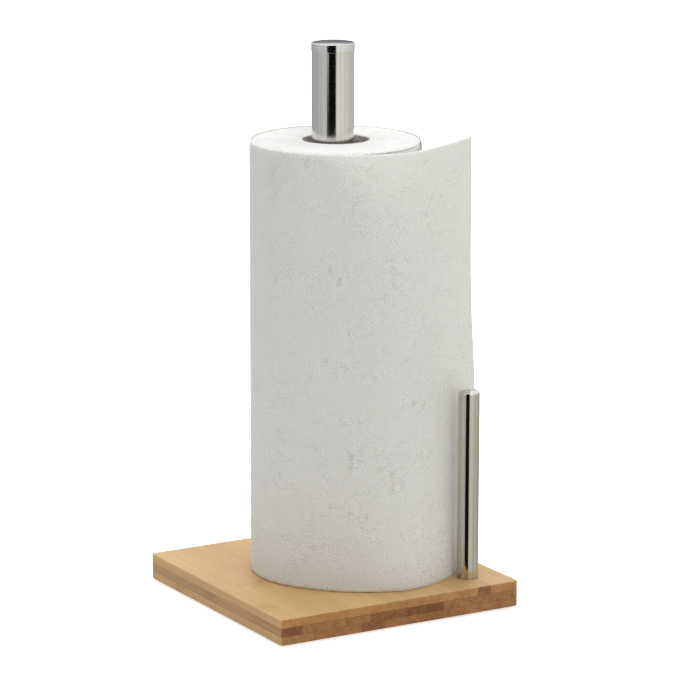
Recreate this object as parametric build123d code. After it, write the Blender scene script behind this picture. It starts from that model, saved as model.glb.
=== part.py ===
from build123d import *
import math
import os

# Free-standing paper towel holder: a square three-ply bamboo base, a tall steel tube that the roll
# drops over, a short steel post that the paper is torn against, and a paper roll with a loose end.
# Millimetres, +Z up. The origin is on the table, under the middle of the base and of the tall tube.
# +X runs from the tall tube towards the short post's side, and -Y is the front.

# base
base_side = 165.0
ply_thickness = 5.3
ply_count = 3
base_corner_radius = 2.5
base_edge_rounding = 0.6
foot_radius = 6.0
foot_thickness = 1.6
foot_chamfer = 0.4
foot_inset = 11.0

# tall tube, its cap and its fastening
roll_post_radius = 12.7
roll_post_wall = 1.0
roll_post_top = 341.6
roll_cap_collar = 5.0
roll_cap_radius = 12.95
roll_cap_chamfer = 0.5

# short post
tear_post_x = 60.0
tear_post_y = -60.0
tear_post_radius = 6.5
tear_post_wall = 0.8
tear_post_top = 134.1
tear_cap_collar = 2.4
tear_cap_crown = 0.9
tear_cap_rounding = 0.9

# plugs, screws and washers: (thread radius, head radius, head height, washer radius, washer height)
plug_height = 12.0
cap_spigot = 9.0
fit_clearance = 0.05
roll_screw_size = (3.0, 5.5, 3.6, 8.0, 1.2)
tear_screw_size = (2.0, 3.8, 2.8, 5.0, 0.8)
recess_depth = 8.0
recess_clearance = 0.75
thread_engagement = 9.5
washer_play = 0.2
head_rounding_share = 0.4
drive_depth = 1.6
drive_length_share = 1.1
drive_width_share = 0.25

# roll
roll_axis_x = 1.3
roll_axis_y = -1.1
roll_radius = 51.0
roll_height = 265.8
roll_lift_off_base = 0.3
core_bore_radius = 19.7
core_wall = 0.8
wound_edge_rounding = 1.0

# loose sheet: one turn that lies on the roll, then a free end that leaves it at the front
sheet_thickness = 0.5
sheet_gap = 0.3
sheet_drop = 0.6
sheet_turn_start = -410.0
sheet_leaves_roll = -130.0
# the free end in plan: (angle about the roll's axis, distance from it)
sheet_free_end = [
    (-114, 54.0),
    (-100, 58.0),
    (-88, 64.0),
    (-76, 67.5),
    (-60, 69.4),
    (-45, 72.0),
    (-33, 75.4),
    (-23, 80.6),
]
sheet_end_heading = 52.0

base_bottom = foot_thickness
base_top = base_bottom + ply_count * ply_thickness
roll_bottom = base_top + roll_lift_off_base
roll_top = roll_bottom + roll_height


def rod(radius, low, high, x=0.0, y=0.0):
    """A solid round bar along Z."""
    return Pos(x, y, low) * extrude(Circle(radius), high - low)


def tube(outer, inner, low, high, x=0.0, y=0.0):
    """A round tube along Z."""
    return rod(outer, low, high, x, y) - rod(inner, low - 1, high + 1, x, y)


def save(shape, name):
    """Writes one piece to its own file."""
    solids = shape.solids() if hasattr(shape, "solids") else shape
    part = solids[0] if len(solids) == 1 else Compound(children=list(solids))
    part.label = name
    export_step(part, f"parts/{name}.step")


def recess_radius(size):
    """The pocket under the base has to take the washer with room to turn."""
    return size[3] + recess_clearance


def base_ply(index):
    """One ply of the base, with the holes and pockets that the two screws need."""
    low = base_bottom + index * ply_thickness
    outline = RectangleRounded(base_side, base_side, base_corner_radius)
    ply = Pos(0, 0, low) * extrude(outline, ply_thickness)
    if index == 0:
        ply = fillet(ply.faces().sort_by(Axis.Z)[0].outer_wire().edges(), base_edge_rounding)
    if index == ply_count - 1:
        ply = fillet(ply.faces().sort_by(Axis.Z)[-1].outer_wire().edges(), base_edge_rounding)
    for size, x, y in ((roll_screw_size, 0.0, 0.0), (tear_screw_size, tear_post_x, tear_post_y)):
        ply -= rod(size[0] + recess_clearance / 2, base_bottom - 1, base_top + 1, x, y)
        ply -= rod(recess_radius(size), base_bottom - 1, base_bottom + recess_depth, x, y)
    return ply


def foot(side_x, side_y):
    """A round pad stuck under one corner."""
    place = base_side / 2 - foot_inset
    pad = rod(foot_radius, 0.0, foot_thickness, side_x * place, side_y * place)
    return chamfer(pad.faces().sort_by(Axis.Z)[0].edges(), foot_chamfer)


def spigot(tube_inner, collar_foot, x=0.0, y=0.0):
    """The part of a cap that is pressed into its tube."""
    return rod(tube_inner - fit_clearance, collar_foot - cap_spigot, collar_foot, x, y)


def roll_cap():
    """The tall tube's cap: a collar with a chamfered top edge."""
    collar_foot = roll_post_top - roll_cap_collar
    collar = rod(roll_cap_radius, collar_foot, roll_post_top)
    collar = chamfer(collar.faces().sort_by(Axis.Z)[-1].edges(), roll_cap_chamfer)
    return collar + spigot(roll_post_radius - roll_post_wall, collar_foot)


def tear_cap():
    """The short post's cap: a button with a slightly domed crown and a rounded rim."""
    collar_foot = tear_post_top - tear_cap_collar
    dome_radius = (tear_post_radius**2 + tear_cap_crown**2) / (2 * tear_cap_crown)
    button = rod(tear_post_radius, collar_foot, tear_post_top, tear_post_x, tear_post_y)
    button &= Pos(tear_post_x, tear_post_y, tear_post_top - dome_radius) * Sphere(dome_radius)
    rim_height = tear_post_top - tear_cap_crown
    rim = button.edges().filter_by(GeomType.CIRCLE).filter_by(lambda e: abs(e.center().Z - rim_height) < 0.01)
    button = fillet(rim, tear_cap_rounding)
    return button + spigot(tear_post_radius - tear_post_wall, collar_foot, tear_post_x, tear_post_y)


def threaded_plug(outer, size, x=0.0, y=0.0):
    """The plug in a tube's foot that its screw pulls down."""
    return tube(outer, size[0] + fit_clearance, base_top, base_top + plug_height, x, y)


def washer(size, x=0.0, y=0.0):
    """The washer against the top of its pocket."""
    top = base_bottom + recess_depth
    return tube(size[3], size[0] + washer_play, top - size[4], top, x, y)


def screw(size, x=0.0, y=0.0):
    """A pan-head screw from below, with a cross recess in its head."""
    thread_radius, head_radius, head_height, washer_radius, washer_height = size
    head_top = base_bottom + recess_depth - washer_height
    head_low = head_top - head_height
    head = rod(head_radius, head_low, head_top, x, y)
    head = fillet(head.faces().sort_by(Axis.Z)[0].edges(), head_height * head_rounding_share)
    body = head + rod(thread_radius, head_top, base_top + thread_engagement, x, y)
    slot_length = head_radius * drive_length_share
    slot_width = head_radius * drive_width_share
    for length, width in ((slot_length, slot_width), (slot_width, slot_length)):
        body -= Pos(x, y, head_low + drive_depth / 2) * Box(length, width, drive_depth)
    return body


def roll_core():
    """The cardboard tube that the paper is wound on."""
    outer = core_bore_radius + core_wall
    return tube(outer, core_bore_radius, roll_bottom, roll_top, roll_axis_x, roll_axis_y)


def wound_paper():
    """The wound paper as one solid, with slightly rounded outer edges."""
    inner = core_bore_radius + core_wall + fit_clearance
    paper = tube(roll_radius, inner, roll_bottom, roll_top, roll_axis_x, roll_axis_y)
    rims = paper.edges().filter_by(GeomType.CIRCLE).filter_by(lambda e: abs(e.radius - roll_radius) < 0.01)
    return fillet(rims, wound_edge_rounding)


def sheet_point(angle, radius):
    """A point of the loose sheet, from its angle and distance about the roll's axis."""
    turn = math.radians(angle)
    return (roll_axis_x + radius * math.cos(turn), roll_axis_y + radius * math.sin(turn))


def sheet_outline(offset):
    """One face of the loose sheet in plan: most of a turn on the roll, then its free end."""
    radius = roll_radius + sheet_gap + sheet_thickness / 2 + offset
    middle = (sheet_turn_start + sheet_leaves_roll) / 2
    start, half, leave = [sheet_point(a, radius) for a in (sheet_turn_start, middle, sheet_leaves_roll)]
    turn = ThreePointArc(start, half, leave)
    free = [sheet_point(angle, distance + offset) for angle, distance in sheet_free_end]
    heading = math.radians(sheet_end_heading)
    end = Spline(leave, *free, tangents=(turn % 1, (math.cos(heading), math.sin(heading))))
    return [turn, end]


def loose_sheet():
    """The outer turn of paper and the free end that hangs between the roll and the short post."""
    inner = sheet_outline(-sheet_thickness / 2)
    outer = sheet_outline(sheet_thickness / 2)
    ends = [Line(inner[0] @ 0, outer[0] @ 0), Line(inner[1] @ 1, outer[1] @ 1)]
    face = make_face(Wire(inner + outer + ends))
    return Pos(0, 0, roll_bottom) * extrude(face, roll_height - sheet_drop)


def main():
    os.makedirs("parts", exist_ok=True)
    for index, name in enumerate(("base_bottom_ply", "base_core_ply", "base_top_ply")):
        save(base_ply(index), name)
    for name, side_x, side_y in (
        ("foot_pad_front_left", -1, -1),
        ("foot_pad_front_right", 1, -1),
        ("foot_pad_back_left", -1, 1),
        ("foot_pad_back_right", 1, 1),
    ):
        save(foot(side_x, side_y), name)

    roll_inner = roll_post_radius - roll_post_wall
    save(tube(roll_post_radius, roll_inner, base_top, roll_post_top - roll_cap_collar), "roll_post_tube")
    save(roll_cap(), "roll_post_cap")
    save(threaded_plug(roll_inner - fit_clearance, roll_screw_size), "roll_post_plug")
    save(washer(roll_screw_size), "roll_post_washer")
    save(screw(roll_screw_size), "roll_post_screw")

    tear_inner = tear_post_radius - tear_post_wall
    place = (tear_post_x, tear_post_y)
    tear_tube_top = tear_post_top - tear_cap_collar
    save(tube(tear_post_radius, tear_inner, base_top, tear_tube_top, *place), "tear_post_tube")
    save(tear_cap(), "tear_post_cap")
    save(threaded_plug(tear_inner - fit_clearance, tear_screw_size, *place), "tear_post_plug")
    save(washer(tear_screw_size, *place), "tear_post_washer")
    save(screw(tear_screw_size, *place), "tear_post_screw")

    save(roll_core(), "roll_core")
    save(wound_paper(), "wound_paper")
    save(loose_sheet(), "loose_sheet")


main()
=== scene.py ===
import math

import bmesh
import bpy
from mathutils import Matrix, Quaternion, Vector, noise


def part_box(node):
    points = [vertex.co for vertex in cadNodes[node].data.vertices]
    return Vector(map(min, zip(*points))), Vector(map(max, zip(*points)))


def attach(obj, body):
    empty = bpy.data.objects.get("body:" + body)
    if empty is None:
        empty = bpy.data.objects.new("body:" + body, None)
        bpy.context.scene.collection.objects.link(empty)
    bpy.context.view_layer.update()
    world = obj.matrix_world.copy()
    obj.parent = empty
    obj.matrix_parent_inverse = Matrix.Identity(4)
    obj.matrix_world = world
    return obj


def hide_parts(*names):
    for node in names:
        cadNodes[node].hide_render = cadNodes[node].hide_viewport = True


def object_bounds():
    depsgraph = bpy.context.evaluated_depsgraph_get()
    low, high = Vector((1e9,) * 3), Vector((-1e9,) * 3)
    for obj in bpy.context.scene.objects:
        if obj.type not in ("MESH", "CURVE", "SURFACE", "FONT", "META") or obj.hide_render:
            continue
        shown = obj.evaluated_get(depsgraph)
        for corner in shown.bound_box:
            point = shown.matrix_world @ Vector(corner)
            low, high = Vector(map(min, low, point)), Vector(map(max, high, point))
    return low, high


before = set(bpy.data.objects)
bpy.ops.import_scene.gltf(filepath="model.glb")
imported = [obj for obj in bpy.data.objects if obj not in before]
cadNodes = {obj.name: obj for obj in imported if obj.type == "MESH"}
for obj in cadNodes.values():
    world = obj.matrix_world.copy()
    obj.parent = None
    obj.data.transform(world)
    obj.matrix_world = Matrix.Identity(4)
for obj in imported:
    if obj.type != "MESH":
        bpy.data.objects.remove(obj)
cadLow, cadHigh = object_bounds()
scene = bpy.context.scene
millimetre = 0.001
print("frame loaded:", len(cadNodes), "nodes")


viewpoint = {
    "azimuth": math.radians(-30.24),
    "distance": 2.1281,
    "height": 0.6343,
    "aimAside": 0.00475,
    "aimHeight": 0.1597,
    "lens": 190.43,
    "tilt": math.radians(0.095),
}
towardsCamera = Vector((math.sin(viewpoint["azimuth"]), -math.cos(viewpoint["azimuth"]), 0))
cameraRight = Vector((math.cos(viewpoint["azimuth"]), math.sin(viewpoint["azimuth"]), 0))


def makeCamera():
    data = bpy.data.cameras.new("camera")
    data.sensor_width = 36
    data.lens = viewpoint["lens"]
    data.clip_end = 50
    camera = bpy.data.objects.new("camera", data)
    scene.collection.objects.link(camera)
    camera.location = towardsCamera * viewpoint["distance"] + Vector((0, 0, viewpoint["height"]))
    aim = cameraRight * viewpoint["aimAside"] + Vector((0, 0, viewpoint["aimHeight"]))
    looking = (aim - camera.location).to_track_quat("-Z", "Y")
    camera.rotation_euler = (looking @ Quaternion((0, 0, 1), viewpoint["tilt"])).to_euler()
    scene.camera = camera


def addNode(tree, kind, sockets=None, **settings):
    node = tree.nodes.new(kind)
    for key, value in settings.items():
        setattr(node, key, value)
    for key, value in (sockets or {}).items():
        if isinstance(value, bpy.types.NodeSocket):
            tree.links.new(value, node.inputs[key])
        else:
            node.inputs[key].default_value = value
    return node


def calc(tree, operation, a, b=0.0, c=0.0):
    return addNode(tree, "ShaderNodeMath", {0: a, 1: b, 2: c}, operation=operation).outputs[0]


def mapRange(tree, value, fromLow, fromHigh, toLow=0.0, toHigh=1.0):
    sockets = {0: value, 1: fromLow, 2: fromHigh, 3: toLow, 4: toHigh}
    return addNode(tree, "ShaderNodeMapRange", sockets).outputs[0]


def softNoise(tree, place, scale, detail=2):
    sockets = {"Vector": place, "Scale": scale, "Detail": detail}
    return addNode(tree, "ShaderNodeTexNoise", sockets).outputs[0]


def aboutZero(tree, value):
    # noise runs from 0 to 1, so this moves it to lie about nought
    return calc(tree, "SUBTRACT", value, 0.5)


def splitAxes(tree, vector):
    return addNode(tree, "ShaderNodeSeparateXYZ", {0: vector}).outputs


def dotProduct(tree, a, b):
    return addNode(tree, "ShaderNodeVectorMath", {0: a, 1: b}, operation="DOT_PRODUCT").outputs["Value"]


def ramp(tree, factor, stops, interpolation="LINEAR"):
    node = addNode(tree, "ShaderNodeValToRGB", {0: factor})
    band = node.color_ramp
    band.interpolation = interpolation
    while len(band.elements) < len(stops):
        band.elements.new(0.5)
    for element, (place, colour) in zip(band.elements, stops):
        element.position = place
        element.color = (*colour, 1) if hasattr(colour, "__len__") else (colour, colour, colour, 1)
    return node.outputs[0]


def mixColour(tree, factor, a, b, blendType="MIX"):
    sockets = {0: factor, 6: a, 7: b}
    return addNode(tree, "ShaderNodeMix", sockets, data_type="RGBA", blend_type=blendType).outputs[2]


room = {
    "floorSize": 14.0,
    "floorWhite": 0.85,
    "glowReach": (0.12, 0.5),
    "glowNear": 0.72,
    "glowFar": 1.0,
    "ambient": 0.34,
    "lampAim": (0, 0, 0.12),
    "cardDistance": 0.37,
    "cardLeft": -0.155,
    "cardRight": 0.112,
    "cardLow": -0.6,
    "cardHigh": 1.3,
    "gapColour": (0.004, 0.004, 0.004, 1),
    "wedgeStart": 0.02,
    "tableEdge": (0.35, 1.3),
    "wallTop": (0.17, 0.25),
    "ceiling": (1.3, 1.3, 1.3, 1),
}

# each lamp: (to the camera's right, towards the camera, up), power, size and tint
lamps = {
    "topSoftbox": ((0, -0.29, 1.7), 24.0, 1.5, (1, 1, 1)),
    "rightSoftbox": ((0.8, 1.39, 0.5), 3.7, 0.9, (1, 1, 1)),
    "leftSoftbox": ((-1.59, 0.16, 0.5), 3.2, 0.9, (0.97, 1.0, 1.06)),
    "frontSoftbox": ((-0.3, 1.6, 0.25), 1.5, 0.9, (1, 1, 1)),
    "backSoftbox": ((1.28, -0.96, 0.5), 1.4, 0.9, (1, 1, 1)),
    "rimSoftbox": ((0.15, 0.35, 0.62), 0.5, 0.4, (1, 1, 1)),
}

# how bright the soft room is: (share of a turn from behind, past the left, the front and the right; colour)
farWalls = [
    (0.0, (0.16, 0.16, 0.17)),
    (0.10, (0.46, 0.47, 0.49)),
    (0.25, (0.60, 0.61, 0.62)),
    (0.40, (0.70, 0.71, 0.70)),
    (0.46, (0.86, 0.86, 0.85)),
    (0.54, (1.02, 1.01, 0.98)),
    (0.66, (0.95, 0.93, 0.84)),
    (0.80, (0.76, 0.76, 0.75)),
    (0.92, (0.62, 0.62, 0.64)),
    (1.0, (0.16, 0.16, 0.17)),
]
nearTabletop = [
    (0.0, (0.30, 0.30, 0.29)),
    (0.25, (0.52, 0.52, 0.49)),
    (0.42, (0.54, 0.54, 0.49)),
    (0.52, (0.64, 0.64, 0.58)),
    (0.60, (0.76, 0.76, 0.68)),
    (0.70, (0.62, 0.62, 0.56)),
    (0.85, (0.44, 0.44, 0.42)),
    (1.0, (0.30, 0.30, 0.29)),
]


def roundTheRoom(tree, direction, stops):
    turn = math.atan2(towardsCamera.y, towardsCamera.x)
    sockets = {"Vector": direction, "Angle": -turn}
    turned = addNode(tree, "ShaderNodeVectorRotate", sockets, rotation_type="Z_AXIS").outputs[0]
    gradient = addNode(tree, "ShaderNodeTexGradient", {"Vector": turned}, gradient_type="RADIAL")
    return ramp(tree, gradient.outputs["Fac"], stops)


def gapWedge(tree, place):
    # where the short post would see the dark gap continue on the table, as 1 inside and 0 outside
    low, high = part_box("tear_post_tube")
    post = (low + high) / 2
    post.z = 0
    postAhead = post.dot(towardsCamera)
    postAside = post.dot(cameraRight)
    reach = room["cardDistance"] - postAhead
    ahead = calc(tree, "SUBTRACT", dotProduct(tree, place, towardsCamera), postAhead)
    aside = calc(tree, "SUBTRACT", dotProduct(tree, place, cameraRight), postAside)
    slant = calc(tree, "DIVIDE", aside, ahead)
    pastLeft = calc(tree, "GREATER_THAN", slant, (room["cardLeft"] - postAside) / reach)
    beforeRight = calc(tree, "LESS_THAN", slant, (room["cardRight"] - postAside) / reach)
    inside = calc(tree, "MULTIPLY", pastLeft, beforeRight)
    return calc(tree, "MULTIPLY", inside, calc(tree, "GREATER_THAN", ahead, room["wedgeStart"]))


def makeFloor():
    half = room["floorSize"] / 2
    mesh = bpy.data.meshes.new("studioFloor")
    corners = [(-half, -half, 0), (half, -half, 0), (half, half, 0), (-half, half, 0)]
    mesh.from_pydata(corners, [], [(0, 1, 2, 3)])
    floor = bpy.data.objects.new("studioFloor", mesh)
    scene.collection.objects.link(floor)
    material = bpy.data.materials.new("floorWhite")
    material.use_nodes = True
    tree = material.node_tree
    tree.nodes.clear()
    lightPath = addNode(tree, "ShaderNodeLightPath")
    place = addNode(tree, "ShaderNodeTexCoord").outputs["Object"]
    away = addNode(tree, "ShaderNodeVectorMath", {0: place}, operation="LENGTH").outputs["Value"]
    glowOut = mapRange(tree, away, *room["glowReach"], room["glowNear"], room["glowFar"])
    matte = addNode(tree, "ShaderNodeBsdfDiffuse", {"Color": (room["floorWhite"],) * 3 + (1,)})
    strength = calc(tree, "MULTIPLY", lightPath.outputs["Is Camera Ray"], glowOut)
    glow = addNode(tree, "ShaderNodeEmission", {"Color": (1, 1, 1, 1), "Strength": strength})
    lit = addNode(tree, "ShaderNodeAddShader", {0: matte.outputs[0], 1: glow.outputs[0]})
    # in the steel the floor looks like the room far off, and like a softer table close by
    farOff = mapRange(tree, away, *room["tableEdge"])
    tableShade = roundTheRoom(tree, place, nearTabletop)
    wallShade = roundTheRoom(tree, place, farWalls)
    shade = mixColour(tree, farOff, tableShade, wallShade)
    shade = mixColour(tree, gapWedge(tree, place), shade, room["gapColour"])
    mirrored = addNode(tree, "ShaderNodeEmission", {"Color": shade})
    sockets = {0: lightPath.outputs["Is Glossy Ray"], 1: lit.outputs[0], 2: mirrored.outputs[0]}
    both = addNode(tree, "ShaderNodeMixShader", sockets)
    addNode(tree, "ShaderNodeOutputMaterial", {"Surface": both.outputs[0]})
    mesh.materials.append(material)


def makeWorld():
    world = bpy.data.worlds.new("softRoom")
    scene.world = world
    world.use_nodes = True
    tree = world.node_tree
    tree.nodes.clear()
    direction = addNode(tree, "ShaderNodeTexCoord").outputs["Generated"]
    sides = roundTheRoom(tree, direction, farWalls)
    overhead = mapRange(tree, splitAxes(tree, direction)[2], *room["wallTop"])
    mirrored = mixColour(tree, overhead, sides, room["ceiling"])
    lightPath = addNode(tree, "ShaderNodeLightPath")
    ambient = (room["ambient"],) * 3 + (1,)
    plain = mixColour(tree, lightPath.outputs["Is Glossy Ray"], ambient, mirrored)
    seen = mixColour(tree, lightPath.outputs["Is Camera Ray"], plain, (1, 1, 1, 1))
    glow = addNode(tree, "ShaderNodeBackground", {"Color": seen})
    addNode(tree, "ShaderNodeOutputWorld", {"Surface": glow.outputs[0]})


def makeLamp(name, place, power, size, tint):
    data = bpy.data.lights.new(name, "AREA")
    data.shape = "SQUARE"
    data.size = size
    data.energy = power
    data.color = tint
    lamp = bpy.data.objects.new(name, data)
    right, ahead, up = place
    lamp.location = cameraRight * right + towardsCamera * ahead + Vector((0, 0, up))
    shining = Vector(room["lampAim"]) - lamp.location
    lamp.rotation_euler = shining.to_track_quat("-Z", "Y").to_euler()
    lamp.visible_glossy = False
    lamp.visible_camera = False
    scene.collection.objects.link(lamp)


def makeDarkGap():
    # the dark gap between the two soft walls, in front of the object: only mirrored, never seen
    left, right, low, high = (room[k] for k in ("cardLeft", "cardRight", "cardLow", "cardHigh"))
    corners = []
    for aside, up in ((left, low), (right, low), (right, high), (left, high)):
        corners.append(towardsCamera * room["cardDistance"] + cameraRight * aside + Vector((0, 0, up)))
    mesh = bpy.data.meshes.new("darkGap")
    mesh.from_pydata(corners, [], [(0, 1, 2, 3)])
    card = bpy.data.objects.new("darkGap", mesh)
    scene.collection.objects.link(card)
    for way in ("visible_camera", "visible_diffuse", "visible_shadow", "visible_transmission"):
        setattr(card, way, False)
    material = bpy.data.materials.new("gapBlack")
    material.use_nodes = True
    material.node_tree.nodes.clear()
    black = addNode(material.node_tree, "ShaderNodeEmission", {"Color": room["gapColour"]})
    addNode(material.node_tree, "ShaderNodeOutputMaterial", {"Surface": black.outputs[0]})
    mesh.materials.append(material)


makeCamera()
makeFloor()
makeWorld()
makeDarkGap()
for name, settings in lamps.items():
    makeLamp(name, *settings)
scene.view_settings.view_transform = "Standard"
print("stage set")


def newGroup(name, inputs, outputs):
    tree = bpy.data.node_groups.new(name, "ShaderNodeTree")
    for label, kind, value in inputs:
        socket = tree.interface.new_socket(label, in_out="INPUT", socket_type="NodeSocket" + kind)
        if value is not None:
            socket.default_value = value
    for label, kind in outputs:
        tree.interface.new_socket(label, in_out="OUTPUT", socket_type="NodeSocket" + kind)
    return tree, addNode(tree, "NodeGroupInput").outputs, addNode(tree, "NodeGroupOutput")


def scaled(tree, vector, factors):
    return addNode(tree, "ShaderNodeVectorMath", {0: vector, 1: factors}, operation="MULTIPLY").outputs[0]


bamboo = {
    "fibreSquash": 0.012,
    "fineScale": 2300,
    "broadScale": 380,
    "bundleScale": 1150,
    "bundleEdge": (0.16, 0.42),
    "endFacing": (0.4, 0.9),
    "cloudScale": 26,
    "cloudContrast": 0.35,
    "stripWidth": 0.0236,
    "knuckleSpacing": 0.19,
    "knuckleWidth": 0.045,
    "knuckleWander": 0.09,
    "wanderScale": 160,
    "knuckleDarker": 0.5,
    "paleLimit": -0.15,
    "darkLimit": 1.3,
    "endCutTint": (0.72, 0.53, 0.37, 1),
}


def makeBambooGrain():
    # fibres run along Y, so one stretched pattern gives streaks on the long faces and dots on the cut ends
    tree, given, result = newGroup(
        "bambooGrain",
        [
            ("Vector", "Vector", None),
            ("FaceTone", "Float", 0.3),
            ("EndTone", "Float", 0.3),
            ("Speckle", "Float", 0.3),
            ("Pale", "Color", (0.66, 0.423, 0.175, 1)),
            ("Dark", "Color", (0.36, 0.19, 0.065, 1)),
        ],
        [("Colour", "Color"), ("Roughness", "Float"), ("Height", "Float")],
    )
    place = given["Vector"]
    fibre = scaled(tree, place, (1, bamboo["fibreSquash"], 1))
    fine = softNoise(tree, fibre, bamboo["fineScale"], 3)
    broad = softNoise(tree, fibre, bamboo["broadScale"])
    sockets = {"Vector": fibre, "Scale": bamboo["bundleScale"], "Randomness": 0.9}
    bundles = addNode(tree, "ShaderNodeTexVoronoi", sockets)
    dot = mapRange(tree, bundles.outputs["Distance"], *bamboo["bundleEdge"], 1, 0)
    cloud = softNoise(tree, place, bamboo["cloudScale"])
    face = addNode(tree, "ShaderNodeNewGeometry").outputs["True Normal"]
    alongCane = calc(tree, "ABSOLUTE", splitAxes(tree, face)[1])
    endGrain = mapRange(tree, alongCane, *bamboo["endFacing"])
    sockets = {0: endGrain, 2: given["FaceTone"], 3: given["EndTone"]}
    stripStep = addNode(tree, "ShaderNodeMix", sockets).outputs[0]
    contrast = calc(tree, "MULTIPLY_ADD", endGrain, 0.7, 0.6)
    tone = calc(tree, "MULTIPLY_ADD", aboutZero(tree, broad), contrast, stripStep)
    tone = calc(tree, "MULTIPLY_ADD", aboutZero(tree, fine), contrast, tone)
    tone = calc(tree, "MULTIPLY_ADD", aboutZero(tree, cloud), bamboo["cloudContrast"], tone)
    dots = calc(tree, "MULTIPLY", dot, calc(tree, "MULTIPLY_ADD", endGrain, 0.6, 0.2))
    tone = calc(tree, "MULTIPLY_ADD", dots, given["Speckle"], tone)
    # knuckles: a wavy darker band across each strip, at its own place along the cane
    axis = splitAxes(tree, place)
    stripNumber = calc(tree, "FLOOR", calc(tree, "MULTIPLY", axis[0], 1 / bamboo["stripWidth"]))
    luck = addNode(tree, "ShaderNodeTexWhiteNoise", {"W": stripNumber}, noise_dimensions="1D").outputs[0]
    wave = softNoise(tree, place, bamboo["wanderScale"])
    along = calc(tree, "MULTIPLY", axis[1], 1 / bamboo["knuckleSpacing"])
    along = calc(tree, "ADD", along, calc(tree, "ADD", luck, 0.5))
    along = calc(tree, "MULTIPLY_ADD", aboutZero(tree, wave), bamboo["knuckleWander"], along)
    offBand = calc(tree, "ABSOLUTE", aboutZero(tree, calc(tree, "FRACT", along)))
    knuckle = mapRange(tree, offBand, 0.0, bamboo["knuckleWidth"], 1, 0)
    onFaces = calc(tree, "SUBTRACT", 1.0, endGrain)
    knuckle = calc(tree, "MULTIPLY", knuckle, calc(tree, "MULTIPLY", fine, onFaces))
    tone = calc(tree, "MULTIPLY_ADD", knuckle, bamboo["knuckleDarker"], tone)
    tone = calc(tree, "MAXIMUM", tone, bamboo["paleLimit"])
    tone = calc(tree, "MINIMUM", tone, bamboo["darkLimit"])
    wood = mixColour(tree, tone, given["Pale"], given["Dark"])
    wood.node.clamp_factor = False
    cut = mixColour(tree, 1.0, wood, bamboo["endCutTint"], "MULTIPLY")
    colour = mixColour(tree, endGrain, wood, cut)
    tree.links.new(colour, result.inputs["Colour"])
    tree.links.new(calc(tree, "MULTIPLY_ADD", fine, 0.2, 0.36), result.inputs["Roughness"])
    tree.links.new(calc(tree, "SUBTRACT", fine, dots), result.inputs["Height"])
    return tree


brush = {
    "hairScale": 3200,
    "bandScale": 500,
    "bandShare": 1.8,
    "smudgeScale": 45,
    "plainShade": 0.99,
    "plainRoughness": 0.04,
    "darker": -0.16,
    "rougher": 0.04,
    "smudgeRougher": 0.05,
}


def makeBrushMarks():
    # hairline scratches: Stretch squeezes the pattern along the way that the brush went
    tree, given, result = newGroup(
        "brushMarks",
        [("Vector", "Vector", None), ("Stretch", "Vector", (1, 1, 0.01)), ("Strength", "Float", 1.0)],
        [("Shade", "Float"), ("Roughness", "Float"), ("Height", "Float")],
    )
    drawn = scaled(tree, given["Vector"], given["Stretch"])
    hair = softNoise(tree, drawn, brush["hairScale"])
    band = softNoise(tree, drawn, brush["bandScale"], 1)
    smudge = softNoise(tree, given["Vector"], brush["smudgeScale"], 3)
    both = calc(tree, "MULTIPLY_ADD", aboutZero(tree, band), brush["bandShare"], aboutZero(tree, hair))
    both = calc(tree, "MULTIPLY", both, given["Strength"])
    shade = calc(tree, "MULTIPLY_ADD", both, brush["darker"], brush["plainShade"])
    tree.links.new(shade, result.inputs["Shade"])
    smudged = calc(tree, "MULTIPLY_ADD", smudge, brush["smudgeRougher"], brush["plainRoughness"])
    rough = calc(tree, "MULTIPLY_ADD", both, brush["rougher"], smudged)
    tree.links.new(rough, result.inputs["Roughness"])
    tree.links.new(both, result.inputs["Height"])
    return tree


embossing = {
    "dotScale": 430,
    "dotEdge": (0.08, 0.40),
    "ringScale": 62,
    "ringsAcross": 15.0,
    "patchScale": 55,
    "patchContrast": 4.2,
    "patchStart": -1.1,
    "faintest": 0.1,
    "fuzzScale": 2600,
    "fuzzHeight": 0.22,
    "plainShade": 0.93,
    "dotPaintedHighlight": 0.17,
    "fuzzContrast": 0.26,
}


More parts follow.
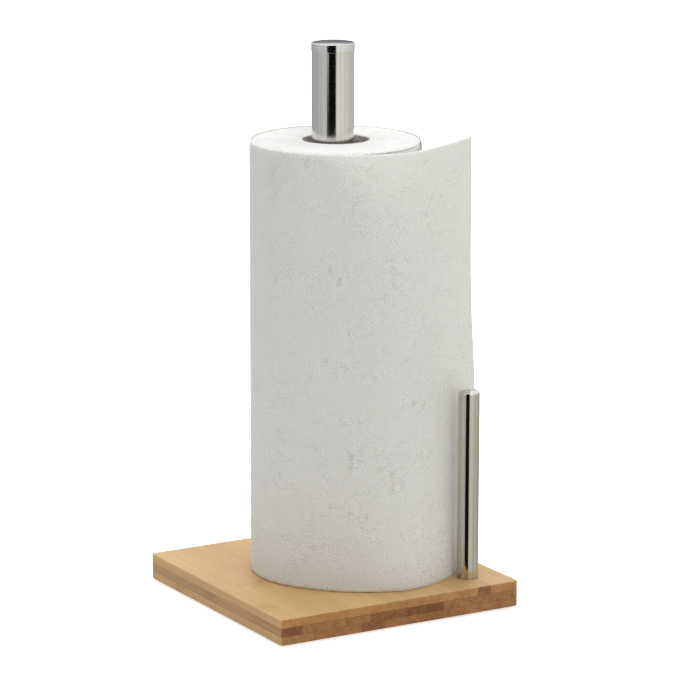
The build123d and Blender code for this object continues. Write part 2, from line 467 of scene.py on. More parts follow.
def makePaperEmboss():
    # raised dots about 2 mm apart, strongest along soft rings, over the fine fuzz of the paper; the dots
    # also carry a painted highlight, lighter in colour where they would catch the light
    tree, given, result = newGroup(
        "paperEmboss",
        [("Vector", "Vector", None), ("Depth", "Float", 1.0)],
        [("Shade", "Float"), ("Height", "Float")],
    )
    place = given["Vector"]
    plan = {"voronoi_dimensions": "2D"}
    sockets = {"Vector": place, "Scale": embossing["dotScale"], "Randomness": 0.8}
    dotField = addNode(tree, "ShaderNodeTexVoronoi", sockets, **plan)
    dots = mapRange(tree, dotField.outputs["Distance"], *embossing["dotEdge"], 1, 0)
    sockets = {"Vector": place, "Scale": embossing["ringScale"], "Randomness": 0.5}
    ringField = addNode(tree, "ShaderNodeTexVoronoi", sockets, **plan)
    ringTurns = calc(tree, "MULTIPLY", ringField.outputs["Distance"], embossing["ringsAcross"])
    ring = calc(tree, "SINE", ringTurns)
    strongest = calc(tree, "MULTIPLY_ADD", ring, 0.4, 0.6)
    patch = softNoise(tree, place, embossing["patchScale"], 1)
    patchy = calc(tree, "MULTIPLY_ADD", patch, embossing["patchContrast"], embossing["patchStart"])
    strength = calc(tree, "MULTIPLY", strongest, calc(tree, "MAXIMUM", patchy, embossing["faintest"]))
    raised = calc(tree, "MULTIPLY", dots, strength)
    fuzz = softNoise(tree, place, embossing["fuzzScale"])
    height = calc(tree, "MULTIPLY_ADD", fuzz, embossing["fuzzHeight"], raised)
    tree.links.new(calc(tree, "MULTIPLY", height, given["Depth"]), result.inputs["Height"])
    # painted highlight: the raised dots are made lighter in colour
    shade = calc(tree, "MULTIPLY_ADD", raised, embossing["dotPaintedHighlight"], embossing["plainShade"])
    shade = calc(tree, "MULTIPLY_ADD", aboutZero(tree, fuzz), embossing["fuzzContrast"], shade)
    tree.links.new(shade, result.inputs["Shade"])
    return tree


bambooGrain = makeBambooGrain()
brushMarks = makeBrushMarks()
paperEmboss = makePaperEmboss()
print("shader groups made")


def newMaterial(name, **fixed):
    material = bpy.data.materials.new(name)
    material.use_nodes = True
    shader = material.node_tree.nodes["Principled BSDF"]
    for key, value in fixed.items():
        shader.inputs[key.replace("_", " ")].default_value = value
    return material, material.node_tree, shader


def useGroup(tree, group, **sockets):
    node = addNode(tree, "ShaderNodeGroup", node_tree=group)
    for key, value in sockets.items():
        if isinstance(value, bpy.types.NodeSocket):
            tree.links.new(value, node.inputs[key])
        else:
            node.inputs[key].default_value = value
    return node.outputs


def addBump(tree, shader, height, strength, distance):
    bump = addNode(tree, "ShaderNodeBump", {"Height": height, "Strength": strength, "Distance": distance})
    tree.links.new(bump.outputs[0], shader.inputs["Normal"])


def objectPlace(tree, shift=(0, 0, 0)):
    coordinates = addNode(tree, "ShaderNodeTexCoord").outputs["Object"]
    moved = [-v for v in shift]
    return addNode(tree, "ShaderNodeMapping", {"Vector": coordinates, "Location": moved}).outputs[0]


# each ply's strips: (start in mm from the left edge, how dark the face is, how dark the cut end is)
plies = {
    "base_top_ply": {
        "strips": [
            # the faces of the strips starting at 119 and 136.1 mm, beside the short post, are darker: partly
            # their own tone, partly painted shade of the post and roll
            (0, 0.20, 0.06), (23, 0.28, 0.12), (46, 0.18, 0.02), (71, 0.32, 0.10), (95, 0.26, 0.05),
            (119, 0.36, 0.16), (136.1, 0.40, 0.95), (145.4, 0.26, 0.14),
        ],
        "speckle": 0.4,
        "shift": 0.0,
    },
    "base_core_ply": {
        "strips": [
            (0, 0.66, 1.15), (14.4, 0.5, 0.52), (37, 0.5, 0.46), (59.8, 0.6, 0.76), (86.6, 0.6, 1.2),
            (111.4, 0.5, 0.52), (140, 0.55, 0.58),
        ],
        "speckle": 1.0,
        "shift": 3.1,
    },
    "base_bottom_ply": {
        "strips": [
            (0, 0.34, 0.34), (22, 0.3, 0.48), (55, 0.3, 0.9), (71, 0.3, 0.36), (99, 0.3, 0.5),
            (127, 0.3, 0.40), (150, 0.3, 0.54),
        ],
        "speckle": 0.75,
        "shift": 7.7,
    },
}
boardSide = cadHigh.x - cadLow.x
glueLine = {"width": 0.4, "darker": 0.14, "seam": 0.45 * millimetre, "seamDarker": 0.55}


def stripTone(tree, across, strips, column):
    # a step for each strip, with a thin darker glue line where it starts; the ramp holds half of the tone
    stops = []
    for strip in strips:
        start, tone = strip[0] * millimetre / boardSide, strip[column]
        if start > 0:
            glueStart = start - glueLine["width"] * millimetre / boardSide
            stops.append((glueStart, (tone + glueLine["darker"]) / 2))
        stops.append((start, tone / 2))
    return calc(tree, "MULTIPLY", ramp(tree, across, stops, "CONSTANT"), 2.0)


def makeBamboo(name, ply):
    material, tree, shader = newMaterial(name + "Bamboo", Coat_Weight=0.1, Coat_Roughness=0.35)
    place = objectPlace(tree)
    axis = splitAxes(tree, place)
    share = calc(tree, "MULTIPLY_ADD", axis[0], 1 / boardSide, 0.5)
    faceTone = stripTone(tree, share, ply["strips"], 1)
    endTone = stripTone(tree, share, ply["strips"], 2)
    if name == "base_core_ply":
        # the glue shows as a thin dark line where the core meets the outer plies
        low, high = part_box(name)
        offMiddle = calc(tree, "ABSOLUTE", calc(tree, "SUBTRACT", axis[2], (low.z + high.z) / 2))
        half = (high.z - low.z) / 2
        seam = mapRange(tree, offMiddle, half - glueLine["seam"], half)
        faceTone = calc(tree, "MULTIPLY_ADD", seam, glueLine["seamDarker"], faceTone)
        endTone = calc(tree, "MULTIPLY_ADD", seam, glueLine["seamDarker"], endTone)
    shifted = objectPlace(tree, (0, ply["shift"], ply["shift"]))
    tones = {"FaceTone": faceTone, "EndTone": endTone, "Speckle": ply["speckle"]}
    grain = useGroup(tree, bambooGrain, Vector=shifted, **tones)
    tree.links.new(grain["Colour"], shader.inputs["Base Color"])
    tree.links.new(grain["Roughness"], shader.inputs["Roughness"])
    addBump(tree, shader, grain["Height"], strength=0.3, distance=0.2 * millimetre)
    return material


def makeSteel(name, colour, stretch, roughness, centre=(0, 0, 0), strength=1.0):
    material, tree, shader = newMaterial(name, Metallic=1.0)
    marks = useGroup(tree, brushMarks, Vector=objectPlace(tree, centre), Stretch=stretch, Strength=strength)
    shade = mixColour(tree, 1.0, (*colour, 1), marks["Shade"], "MULTIPLY")
    tree.links.new(shade, shader.inputs["Base Color"])
    tree.links.new(calc(tree, "ADD", marks["Roughness"], roughness), shader.inputs["Roughness"])
    addBump(tree, shader, marks["Height"], strength=0.12, distance=0.05 * millimetre)
    return material


def makePaper(name, colour, depth, uvName):
    fixed = {"Roughness": 0.95, "Specular_IOR_Level": 0.15, "Subsurface_Weight": 0.35}
    fixed.update({"Subsurface_Radius": (1.0, 1.0, 0.9), "Subsurface_Scale": 3 * millimetre})
    material, tree, shader = newMaterial(name, **fixed)
    flat = addNode(tree, "ShaderNodeUVMap", uv_map=uvName).outputs[0]
    emboss = useGroup(tree, paperEmboss, Vector=flat, Depth=depth)
    shade = mixColour(tree, 1.0, (*colour, 1), emboss["Shade"], "MULTIPLY")
    tree.links.new(shade, shader.inputs["Base Color"])
    addBump(tree, shader, emboss["Height"], strength=1.0, distance=0.4 * millimetre)
    return material


def easedProfile(points, steps=5):
    # points are (radius, height, easing): each corner with an easing becomes a small arc
    made = []
    for i, (radius, height, easing) in enumerate(points):
        here = Vector((radius, height))
        if easing <= 0 or i == 0 or i == len(points) - 1:
            made.append(here)
            continue
        before = (Vector(points[i - 1][:2]) - here).normalized()
        after = (Vector(points[i + 1][:2]) - here).normalized()
        start, end = here + before * easing, here + after * easing
        for k in range(steps + 1):
            t = k / steps
            made.append(start * (1 - t) ** 2 + here * 2 * t * (1 - t) + end * t ** 2)
    return made


def turnedMesh(name, points, centre=(0, 0), segments=96, closed=False):
    # a profile turned about a vertical axis: closed for a ring, or from axis to axis for a solid
    profile = easedProfile(points)
    model = bmesh.new()
    rings = []
    for radius, height in profile:
        if radius < 1e-7:
            rings.append([model.verts.new((centre[0], centre[1], height))])
            continue
        ring = []
        for k in range(segments):
            turn = 2 * math.pi * k / segments
            x = centre[0] + radius * math.cos(turn)
            y = centre[1] + radius * math.sin(turn)
            ring.append(model.verts.new((x, y, height)))
        rings.append(ring)
    pairs = list(zip(rings, rings[1:])) + ([(rings[-1], rings[0])] if closed else [])
    for low, high in pairs:
        for k in range(segments):
            n = (k + 1) % segments
            if len(low) == 1:
                model.faces.new((low[0], high[n], high[k]))
            elif len(high) == 1:
                model.faces.new((low[k], low[n], high[0]))
            else:
                model.faces.new((low[k], low[n], high[n], high[k]))
    bmesh.ops.remove_doubles(model, verts=model.verts, dist=1e-7)
    bmesh.ops.recalc_face_normals(model, faces=model.faces)
    mesh = bpy.data.meshes.new(name)
    model.to_mesh(mesh)
    model.free()
    return mesh


def smoothEdges(mesh, angle=math.radians(35)):
    mesh.polygons.foreach_set("use_smooth", [True] * len(mesh.polygons))
    mesh.set_sharp_from_angle(angle=angle)


def placePiece(name, mesh, material, body, slotName, *replaced):
    piece = bpy.data.objects.new(name, mesh)
    scene.collection.objects.link(piece)
    mesh.materials.append(material)
    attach(piece, body)
    if replaced:
        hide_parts(*replaced)
    return piece


def softShadingTree(angle=math.radians(32)):
    # joins the loose triangles of a CAD piece and shades it smooth, except across its real edges
    tree = bpy.data.node_groups.new("softShading", "GeometryNodeTree")
    tree.interface.new_socket("Geometry", in_out="INPUT", socket_type="NodeSocketGeometry")
    tree.interface.new_socket("Geometry", in_out="OUTPUT", socket_type="NodeSocketGeometry")
    given = addNode(tree, "NodeGroupInput").outputs[0]
    sockets = {"Geometry": given, "Distance": 0.002 * millimetre}
    joined = addNode(tree, "GeometryNodeMergeByDistance", sockets).outputs[0]
    sockets = {"Geometry": joined, "Shade Smooth": True}
    smooth = addNode(tree, "GeometryNodeSetShadeSmooth", sockets).outputs[0]
    bend = addNode(tree, "GeometryNodeInputMeshEdgeAngle").outputs["Unsigned Angle"]
    settings = {"data_type": "FLOAT", "operation": "GREATER_THAN"}
    sharp = addNode(tree, "FunctionNodeCompare", {0: bend, 1: angle}, **settings)
    sockets = {"Geometry": smooth, "Selection": sharp.outputs[0], "Shade Smooth": False}
    edges = addNode(tree, "GeometryNodeSetShadeSmooth", sockets, domain="EDGE").outputs[0]
    addNode(tree, "NodeGroupOutput", {0: edges})
    return tree


softShading = softShadingTree()


def dressNode(name, material):
    node = cadNodes[name]
    node.data.materials.clear()
    node.data.materials.append(material)
    node.modifiers.new("softShading", "NODES").node_group = softShading


for name, ply in plies.items():
    dressNode(name, makeBamboo(name, ply))
print("bamboo base done")


tallPost = {
    "easing": 0.25 * millimetre,
    "wall": 1.0 * millimetre,
    "fit": 0.05 * millimetre,
    "capEase": 0.3 * millimetre,
    "collarFootEase": 0.15 * millimetre,
    "capChamfer": 0.5 * millimetre,
    "turningRings": 18,
    "ringDepth": 0.015 * millimetre,
    "crown": 0.35 * millimetre,
}
tubeBrushing = (1, 1, 0.004)  # drawn out along the tube
capTurning = (0.02, 0.02, 1)  # drawn out round the cap
tubeSteel = makeSteel("brushedTube", (0.63, 0.62, 0.59), tubeBrushing, roughness=0.06, strength=1.5)
capSteel = makeSteel("turnedCap", (0.68, 0.69, 0.70), capTurning, roughness=0.06)


def makeTallPost():
    low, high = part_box("roll_post_tube")
    outer = high.x
    inner = outer - tallPost["wall"]
    ease = tallPost["easing"]
    points = [(outer - ease, low.z, 0), (outer, low.z + ease, 0), (outer, high.z, ease)]
    points += [(inner, high.z, 0), (inner, low.z, 0)]
    mesh = turnedMesh("tallTube", points, segments=128, closed=True)
    smoothEdges(mesh)
    placePiece("tallTube", mesh, tubeSteel, "stand", "brushed_tube", "roll_post_tube")

    capLow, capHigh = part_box("roll_post_cap")
    collarFoot = high.z
    edge = tallPost["capEase"]
    chamfer, crown = tallPost["capChamfer"], tallPost["crown"]
    spigot = inner - tallPost["fit"]
    rim = capHigh.x
    capProfile = [
        (0, capLow.z, 0),
        (spigot, capLow.z, edge),
        (spigot, collarFoot, 0),
        (rim, collarFoot, tallPost["collarFootEase"]),
        (rim, capHigh.z - chamfer, edge * 0.5),
        (rim - chamfer, capHigh.z - crown, edge * 0.5),
    ]
    # shallow turning rings on the top face
    ringCount = tallPost["turningRings"]
    for k in range(ringCount * 2, 0, -1):
        share = k / (ringCount * 2)
        depth = crown * share ** 2 + (k % 2) * tallPost["ringDepth"]
        capProfile.append(((rim - chamfer - edge) * share, capHigh.z - depth, 0))
    capProfile.append((0, capHigh.z, 0))
    mesh = turnedMesh("tallCap", capProfile, segments=128)
    smoothEdges(mesh, math.radians(25))
    placePiece("tallCap", mesh, capSteel, "stand", "brushed_cap", "roll_post_cap")


makeTallPost()
print("tall post done")

low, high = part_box("tear_post_tube")
tearCentre = ((low.x + high.x) / 2, (low.y + high.y) / 2)
shortPost = {
    "wall": 0.8 * millimetre,
    "fit": 0.05 * millimetre,
    "easing": 0.2 * millimetre,
    "reliefDepth": 0.6 * millimetre,
    "reliefTall": 0.7 * millimetre,
    "crown": 0.9 * millimetre,
    "rimEase": 1.0 * millimetre,
    "domeSteps": 10,
    "domeShare": 0.9,
    "brushing": 1.8,
}
postColour = (0.60, 0.58, 0.52)
tearSteel = makeSteel("brushedPost", postColour, tubeBrushing, 0.06, (*tearCentre, 0), shortPost["brushing"])


def makeTearPost():
    low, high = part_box("tear_post_tube")
    outer = (high.x - low.x) / 2
    inner = outer - shortPost["wall"]
    ease = shortPost["easing"]
    relief = outer - shortPost["reliefDepth"]
    reliefTop = low.z + shortPost["reliefTall"]
    points = [(relief, low.z, 0), (relief, reliefTop, 0), (outer, reliefTop + ease, 0)]
    points += [(outer, high.z, 0), (inner, high.z, 0), (inner, low.z, 0)]
    mesh = turnedMesh("shortTube", points, tearCentre, segments=96, closed=True)
    smoothEdges(mesh)
    placePiece("shortTube", mesh, tearSteel, "stand", "brushed_tube", "tear_post_tube")
    capLow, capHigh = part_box("tear_post_cap")
    spigot = inner - shortPost["fit"]
    crown, rimEase = shortPost["crown"], shortPost["rimEase"]
    capProfile = [(0, capLow.z, 0), (spigot, capLow.z, ease), (spigot, high.z, 0), (outer, high.z, 0)]
    capProfile.append((outer, capHigh.z - crown, rimEase))
    for k in range(1, shortPost["domeSteps"]):
        share = (1 - k / shortPost["domeSteps"]) * shortPost["domeShare"]
        capProfile.append((outer * share, capHigh.z - crown * share ** 2, 0))
    capProfile.append((0, capHigh.z, 0))
    mesh = turnedMesh("shortCap", capProfile, tearCentre, segments=96)
    smoothEdges(mesh)
    placePiece("shortCap", mesh, tearSteel, "stand", "brushed_cap", "tear_post_cap")


makeTearPost()
print("short post done")


platedSteel = makeSteel("platedSteel", (0.60, 0.60, 0.57), (1, 1, 1), roughness=0.28)
for post in ("roll_post", "tear_post"):
    for fastening in ("plug", "washer", "screw"):
        dressNode(f"{post}_{fastening}", platedSteel)

footRubber, footTree, footShader = newMaterial("footRubber", Roughness=0.8)
grit = softNoise(footTree, objectPlace(footTree), 1800)
footTree.links.new(ramp(footTree, grit, [(0.3, 0.03), (0.7, 0.06)]), footShader.inputs["Base Color"])
addBump(footTree, footShader, grit, strength=0.3, distance=0.1 * millimetre)
for end in ("front", "back"):
    for side in ("left", "right"):
        dressNode(f"foot_pad_{end}_{side}", footRubber)
print("fastenings and feet done")


roll = {
    "layerPitch": 0.55 * millimetre,
    "layerThick": 0.34 * millimetre,
    "layerTall": 1.6 * millimetre,
    "perTurn": 72,
    "shoulder": 4.6 * millimetre,
    "footShoulder": 2.76 * millimetre,
    "shoulderFall": 80.0,
    "rippleScale": 90.0,
    "stepScale": 14.0,
    "sink": 0.5 * millimetre,
    "firstEdge": 0.3 * millimetre,
    "lastEdge": 0.3 * millimetre,
    "endInset": 0.1 * millimetre,
    "coreFit": 0.05 * millimetre,
}
paperLow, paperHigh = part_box("wound_paper")
rollCentre = ((paperLow.x + paperHigh.x) / 2, (paperLow.y + paperHigh.y) / 2)
rollRadius = (paperHigh.x - paperLow.x) / 2
coreLow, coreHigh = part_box("roll_core")
coreOuter = (coreHigh.x - coreLow.x) / 2


def cylinderUv(mesh, centre, radius):
    # unrolls the wall: u along the paper in metres, v up it; flat ends read their plan instead
    layer = mesh.uv_layers.new(name="paperUv")
    for face in mesh.polygons:
        flatEnd = abs(face.normal.z) > 0.7
        middle = math.atan2(face.center.y - centre[1], face.center.x - centre[0])
        for corner in face.loop_indices:
            co = mesh.vertices[mesh.loops[corner].vertex_index].co
            if flatEnd:
                layer.data[corner].uv = (co.x, co.y)
                continue
            turn = math.atan2(co.y - centre[1], co.x - centre[0])
            turn += 2 * math.pi * round((middle - turn) / (2 * math.pi))
            layer.data[corner].uv = (turn * radius, co.z)


woundPaper = makePaper("woundPaper", (0.87, 0.865, 0.85), depth=0.8, uvName="paperUv")


def makeWoundPaper():
    sink = roll["sink"]
    shoulder = roll["shoulder"]
    inner = coreOuter + roll["coreFit"]
    low, high = paperLow.z, paperHigh.z
    points = [
        (inner, low + sink, 0),
        (rollRadius - shoulder, low + sink, 0),
        (rollRadius, low + sink, roll["footShoulder"]),
        (rollRadius, high - sink, shoulder),
        (rollRadius - shoulder, high - sink, 0),
        (inner, high - sink, 0),
    ]
    mesh = turnedMesh("woundPaper", points, rollCentre, segments=160, closed=True)
    smoothEdges(mesh)
    cylinderUv(mesh, rollCentre, rollRadius)
    placePiece("woundPaper", mesh, woundPaper, "roll", "wound_paper", "wound_paper")


makeWoundPaper()
print("wound paper done")


# the cut edges of the layers, at both ends of the roll: one spiral each
def spiralTree():
    tree = bpy.data.node_groups.new("layerSpiral", "GeometryNodeTree")
    sizes = (
        ("Inner Radius", 0.021), ("Outer Radius", 0.051), ("Turns", 50.0), ("Layer Thickness", 0.0003),
        ("Layer Height", 0.0016), ("Base Height", 0.28), ("Wobble", 0.00012), ("Shoulder Start", 0.048),
        ("Shoulder Drop", 100.0),
    )
    for label, value in sizes:
        socket = tree.interface.new_socket(label, in_out="INPUT", socket_type="NodeSocketFloat")
        socket.default_value = value
    for label, kind in (("Centre", "Vector"), ("Paper", "Material")):
        tree.interface.new_socket(label, in_out="INPUT", socket_type="NodeSocket" + kind)
    tree.interface.new_socket("Geometry", in_out="OUTPUT", socket_type="NodeSocketGeometry")
    given = addNode(tree, "NodeGroupInput").outputs
    sockets = {
        "Resolution": roll["perTurn"],
        "Rotations": given["Turns"],
        "Start Radius": given["Inner Radius"],
        "End Radius": given["Outer Radius"],
        "Height": 0.0,
    }
    spiral = addNode(tree, "GeometryNodeCurveSpiral", sockets)
    place = addNode(tree, "GeometryNodeInputPosition").outputs[0]
    ripple = softNoise(tree, place, roll["rippleScale"], 1.0)
    edge = addNode(tree, "GeometryNodeSplineParameter").outputs["Length"]
    sockets = {"W": edge, "Scale": roll["stepScale"], "Detail": 2.0}
    step = addNode(tree, "ShaderNodeTexNoise", sockets, noise_dimensions="1D").outputs[0]
    uneven = calc(tree, "ADD", aboutZero(tree, ripple), aboutZero(tree, step))
    lift = calc(tree, "MULTIPLY", uneven, given["Wobble"])
    fromAxis = addNode(tree, "ShaderNodeVectorMath", {0: place}, operation="LENGTH").outputs["Value"]
    past = calc(tree, "MAXIMUM", calc(tree, "SUBTRACT", fromAxis, given["Shoulder Start"]), 0.0)
    fall = calc(tree, "MULTIPLY", calc(tree, "MULTIPLY", past, past), given["Shoulder Drop"])
    height = calc(tree, "SUBTRACT", calc(tree, "ADD", lift, given["Base Height"]), fall)
    lifted = addNode(tree, "ShaderNodeCombineXYZ", {2: height}).outputs[0]
    moved = addNode(tree, "GeometryNodeSetPosition", {"Geometry": spiral.outputs[0], "Offset": lifted})
    sockets = {"Width": given["Layer Thickness"], "Height": given["Layer Height"]}
    layer = addNode(tree, "GeometryNodeCurvePrimitiveQuadrilateral", sockets)
    sockets = {"Curve": moved.outputs[0], "Profile Curve": layer.outputs[0], "Fill Caps": True}
    swept = addNode(tree, "GeometryNodeCurveToMesh", sockets)
    sockets = {"Geometry": swept.outputs[0], "Translation": given["Centre"]}
    centred = addNode(tree, "GeometryNodeTransform", sockets)
    plain = addNode(tree, "GeometryNodeRealizeInstances", {"Geometry": centred.outputs[0]})
    sockets = {"Geometry": plain.outputs[0], "Material": given["Paper"]}
    painted = addNode(tree, "GeometryNodeSetMaterial", sockets)
    addNode(tree, "NodeGroupOutput", {0: painted.outputs[0]})
    return tree


def runTree(tree, name, values):
    mesh = bpy.data.meshes.new(name)
    maker = bpy.data.objects.new(name + "Maker", mesh)
    scene.collection.objects.link(maker)
    modifier = maker.modifiers.new("make", "NODES")
    modifier.node_group = tree
    for item in tree.interface.items_tree:
        if item.in_out == "INPUT" and item.name in values:
            modifier[item.identifier] = values[item.name]
    bpy.context.view_layer.update()
    made = bpy.data.meshes.new_from_object(maker.evaluated_get(bpy.context.evaluated_depsgraph_get()))
    bpy.data.objects.remove(maker)
    made.name = name
    return made


layerTree = spiralTree()


def makeLayerEdges(name, baseHeight, upwards):
    inner = coreOuter + roll["firstEdge"]
    outer = rollRadius - roll["lastEdge"]
    values = {
        "Inner Radius": inner,
        "Outer Radius": outer,
        "Turns": round((outer - inner) / roll["layerPitch"]),
        "Layer Thickness": roll["layerThick"],
        "Layer Height": roll["layerTall"],
        "Base Height": baseHeight,
        "Shoulder Start": rollRadius - roll["shoulder"],
        "Shoulder Drop": upwards * roll["shoulderFall"],
        "Centre": (*rollCentre, 0.0),
        "Paper": woundPaper,
    }
    mesh = runTree(layerTree, name, values)
    cylinderUv(mesh, rollCentre, rollRadius)
    piece = bpy.data.objects.new(name, mesh)
    scene.collection.objects.link(piece)
    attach(piece, "roll")


endInset = roll["layerTall"] / 2 + roll["endInset"]
makeLayerEdges("topLayerEdges", paperHigh.z - endInset, 1.0)
makeLayerEdges("bottomLayerEdges", paperLow.z + endInset, -1.0)
print("layer edges done")


cardCore = {
    "wall": 0.8 * millimetre,
    "easing": 0.15 * millimetre,
    "belowPaper": 0.5 * millimetre,
    "seamPitch": 0.085,
    "seamWidth": 0.02,
    "seamColour": (0.28, 0.265, 0.235, 1),
    "fibreScale": 1100,
    "fibreHeight": 0.4,
    "fibreColours": [(0.36, (0.34, 0.325, 0.29)), (0.64, (0.70, 0.68, 0.63))],
}


def makeCore():
    material, tree, shader = newMaterial("greyCard", Roughness=0.9, Specular_IOR_Level=0.2)
    place = objectPlace(tree, (*rollCentre, 0))
    axis = splitAxes(tree, place)
    turn = calc(tree, "ARCTAN2", axis[1], axis[0])
    # the spiral seam climbs one pitch in each turn
    turns = calc(tree, "MULTIPLY", axis[2], 1 / cardCore["seamPitch"])
    climb = calc(tree, "MULTIPLY_ADD", turn, 1 / (2 * math.pi), turns)
    groove = mapRange(tree, calc(tree, "FRACT", climb), 0.0, cardCore["seamWidth"])
    fibres = softNoise(tree, place, cardCore["fibreScale"], 3)
    tint = ramp(tree, fibres, cardCore["fibreColours"])
    colour = mixColour(tree, groove, cardCore["seamColour"], tint)
    tree.links.new(colour, shader.inputs["Base Color"])
    relief = calc(tree, "MULTIPLY_ADD", fibres, cardCore["fibreHeight"], groove)
    addBump(tree, shader, relief, strength=0.5, distance=0.2 * millimetre)
    ease = cardCore["easing"]
    outer, inner = coreOuter, coreOuter - cardCore["wall"]
    low, high = coreLow.z, coreHigh.z - cardCore["belowPaper"]
    points = [
        (inner, low + ease, 0),
        (inner + ease, low, 0),
        (outer - ease, low, 0),
        (outer, low + ease, 0),
        (outer, high - ease, 0),
        (outer - ease, high, 0),
        (inner + ease, high, 0),
        (inner, high - ease, 0),
    ]
    mesh = turnedMesh("cardboardCore", points, rollCentre, segments=128, closed=True)
    smoothEdges(mesh)
    placePiece("cardboardCore", mesh, material, "roll", "cardboard_core", "roll_core")


makeCore()
print("core done")


sheet = {
    "thickness": 0.35 * millimetre,
    "gap": 0.3 * millimetre,
    "turnStart": -396.0,
    "leavesRoll": -137.0,
    # the free end: (angle about the roll's axis, distance from it in mm at the top and at the bottom)
    "freeEnd": [
        (-137, 51.5, 51.6),
        (-128, 51.7, 52.9),
        (-117, 53.4, 55.2),
        (-104, 57.4, 58.4),
        (-92, 60.4, 62.6),
        (-80, 62.0, 67.4),
        (-66, 63.4, 70.0),
        (-53, 64.6, 72.6),
        (-45, 67.2, 74.2),
        (-37, 70.8, 76.0),
        (-29, 75.6, 79.0),
        (-21, 82.6, 83.8),
    ],
    "angleStep": 0.25,
    "columnStep": 1.7 * millimetre,
    "rows": 88,
    "rowsToEdges": 0.45,
    "curlDepth": 2.6 * millimetre,
    "curlIn": 0.7 * millimetre,
    "curlBelow": 0.2 * millimetre,
    "topDrop": 0.35 * millimetre,
    "topTilt": 0.3 * millimetre,
    "topTiltSide": 85.0,
    "freeTopDrop": 0.3 * millimetre,
    "freeTopAngles": (-110, -70),
    "slackAngle": 30,
    "twistPower": 1.5,
    "ripple": 0.45 * millimetre,
    "longRipple": (22, 9, 3.7, 1.2),  # how quick along and up the paper, its place in the noise, its share
    "shortRipple": (75, 34, 8.1, 0.45),
    "bellyOut": 3.4 * millimetre,
    "bellyAngles": (-50, -22),
    "bellyHeight": 0.36,
    "bellySpread": 0.2,
}


def smoothThrough(points, x):
    # a smooth curve through the points, read at x
    xs = [p[0] for p in points]
    i = max(0, min(len(points) - 2, sum(1 for v in xs if v <= x) - 1))
    x0, y0 = points[i]
    x1, y1 = points[i + 1]

    def slope(k):
        a, b = points[max(k - 1, 0)], points[min(k + 1, len(points) - 1)]
        return (b[1] - a[1]) / (b[0] - a[0])

    m0 = 0.0 if i == 0 else slope(i)
    m1 = slope(i + 1)
    t = (x - x0) / (x1 - x0)
    span = x1 - x0
    return ((2 * t ** 3 - 3 * t ** 2 + 1) * y0 + (t ** 3 - 2 * t ** 2 + t) * span * m0
            + (-2 * t ** 3 + 3 * t ** 2) * y1 + (t ** 3 - t ** 2) * span * m1)


def sheetDistance(angle, column):
    if angle <= sheet["leavesRoll"]:
        return rollRadius + sheet["gap"] + sheet["thickness"] / 2
    table = [(row[0], row[column]) for row in sheet["freeEnd"]]
    return smoothThrough(table, angle) * millimetre


def rollPoint(angle, distance):
    # a place in plan, from its angle and distance about the roll's axis
    turn = math.radians(angle)
    return Vector((rollCentre[0] + distance * math.cos(turn), rollCentre[1] + distance * math.sin(turn)))


def sheetLine():
    # angles at even steps along the paper, with the length walked at each
    angle = sheet["turnStart"]
    last = sheet["freeEnd"][-1][0]
    before = rollPoint(angle, sheetDistance(angle, 1))
    line = [(angle, 0.0)]
    walked = 0.0
    while angle < last:
        angle = min(angle + sheet["angleStep"], last)
        here = rollPoint(angle, (sheetDistance(angle, 1) + sheetDistance(angle, 2)) / 2)
        walked += (here - before).length
        before = here
        if walked - line[-1][1] >= sheet["columnStep"] or angle == last:
            line.append((angle, walked))
    return line


def eased(value, low, high):
    share = max(0.0, min(1.0, (value - low) / (high - low)))
    return share * share * (3 - 2 * share)


def sheetTop(angle):
    # the top edge: the outer turn stands a little higher at the back than at the front
    tilt = sheet["topTilt"] * math.cos(math.radians(angle - sheet["topTiltSide"]))
    freeDrop = eased(angle, *sheet["freeTopAngles"]) * sheet["freeTopDrop"]
    return paperHigh.z - sheet["topDrop"] + tilt - freeDrop


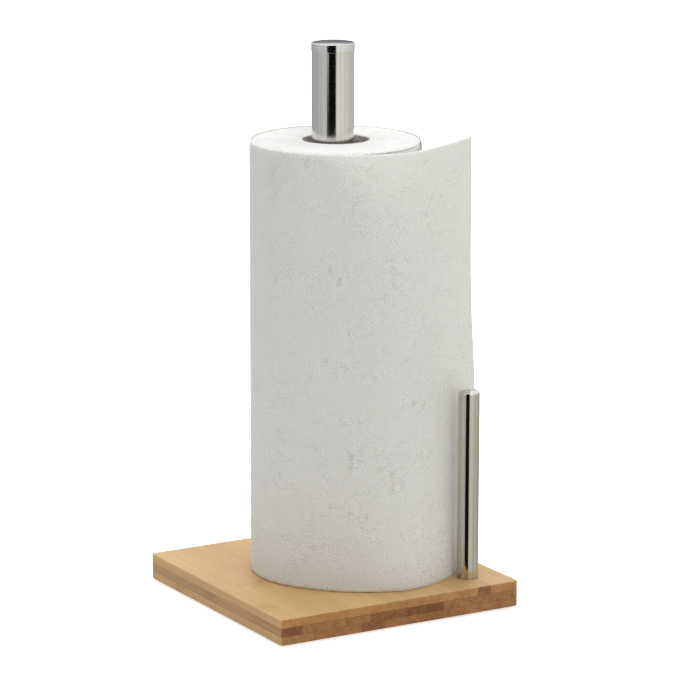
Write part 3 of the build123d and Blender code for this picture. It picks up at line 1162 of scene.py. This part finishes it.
def sheetPoint(angle, length, share, low):
    # one point of the sheet: share runs from 0 at the bottom edge to 1 at the top edge
    free = eased(angle, sheet["leavesRoll"], sheet["leavesRoll"] + sheet["slackAngle"])
    high = sheetTop(angle)
    height = low + (high - low) * share
    curlUp = max(0.0, 1 - (high - height) / sheet["curlDepth"]) ** 2 * sheet["curlIn"]
    curlDown = max(0.0, 1 - (height - low) / sheet["curlDepth"]) ** 2 * sheet["curlBelow"]
    curl = (curlUp + curlDown) * (1 - free)
    upper, lower = sheetDistance(angle, 1), sheetDistance(angle, 2)
    distance = upper + (lower - upper) * (1 - share) ** sheet["twistPower"] - curl
    wave = 0.0
    for along, upwards, seed, part in (sheet["longRipple"], sheet["shortRipple"]):
        wave += noise.noise(Vector((length * along, height * upwards, seed))) * part
    distance += free * sheet["ripple"] * wave
    place = rollPoint(angle, distance)
    # the free edge bows outwards below the middle
    bow = eased(angle, *sheet["bellyAngles"]) * sheet["bellyOut"]
    bow *= math.exp(-((share - sheet["bellyHeight"]) / sheet["bellySpread"]) ** 2)
    place += cameraRight.xy * bow
    return (place.x, place.y, height)


def makeLooseSheet():
    low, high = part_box("loose_sheet")
    line = sheetLine()
    total = line[-1][1]
    tall = high.z - low.z
    rows = sheet["rows"]
    # rows lie closer together at both edges, where the paper curls in
    shares = [0.5 - 0.5 * math.cos(math.pi * k / rows) for k in range(rows + 1)]
    closer = sheet["rowsToEdges"]
    shares = [closer * curled + (1 - closer) * k / rows for k, curled in enumerate(shares)]
    model = bmesh.new()
    uvLayer = model.loops.layers.uv.new("paperUv")
    columns = []
    for angle, length in line:
        column = [model.verts.new(sheetPoint(angle, length, share, low.z)) for share in shares]
        columns.append(column)
    for i in range(len(columns) - 1):
        for k in range(rows):
            spans = ((i, k), (i + 1, k), (i + 1, k + 1), (i, k + 1))
            face = model.faces.new([columns[column][row] for column, row in spans])
            for loop, (column, row) in zip(face.loops, spans):
                loop[uvLayer].uv = (line[column][1], shares[row] * tall)
    bmesh.ops.recalc_face_normals(model, faces=model.faces)
    mesh = bpy.data.meshes.new("looseSheet")
    model.to_mesh(mesh)
    model.free()
    smoothEdges(mesh)
    piece = placePiece("looseSheet", mesh, loosePaper, "paper_tail", "embossed_paper", "loose_sheet")
    thick = piece.modifiers.new("thickness", "SOLIDIFY")
    thick.thickness = sheet["thickness"]
    thick.offset = 0
    return total


loosePaper = makePaper("loosePaper", (0.87, 0.863, 0.795), depth=1.0, uvName="paperUv")
print("loose sheet done:", round(makeLooseSheet(), 3), "m long")
